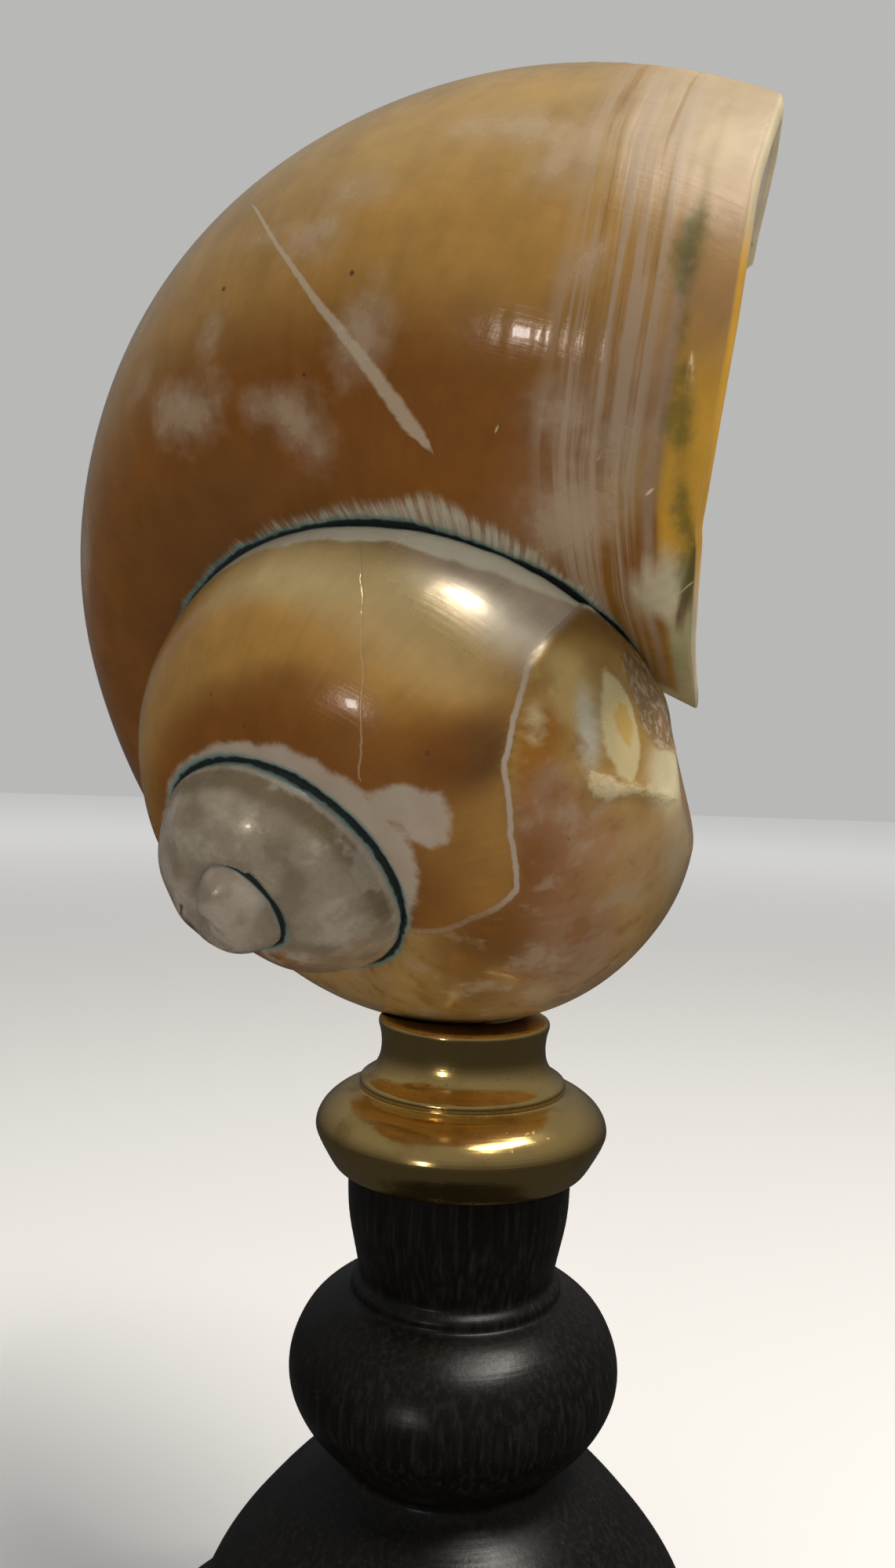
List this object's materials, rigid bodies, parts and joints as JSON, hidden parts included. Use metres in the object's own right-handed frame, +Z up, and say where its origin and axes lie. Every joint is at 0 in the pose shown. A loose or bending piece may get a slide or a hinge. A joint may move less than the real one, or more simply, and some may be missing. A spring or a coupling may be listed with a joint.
{
  "type": "turban shell on stand",
  "caption": "Large polished turban shell, spire down and mouth to the side, fixed on a turned brass cup on a black turned wooden stand.",
  "frame": {"origin": "middle of the round foot's underside, on the stand's turning axis", "axes": "+Z up along the stand's axis; -Y is the side from which the spire shows with the lip to the right, so the shell's mouth opens to +X"},
  "size_m": [0.072, 0.0672, 0.1512],
  "materials": {
    "shell": "natural shell ground and polished to its pearly layer, amber and brown with milky patches",
    "brass": "turned and polished, lightly tarnished",
    "black_lacquer": "turned wood, black, satin to gloss"
  },
  "bodies": {
    "root": {"shell": "shell", "brass_cup": "brass", "wooden_stand": "black_lacquer"}
  },
  "joints": []
}
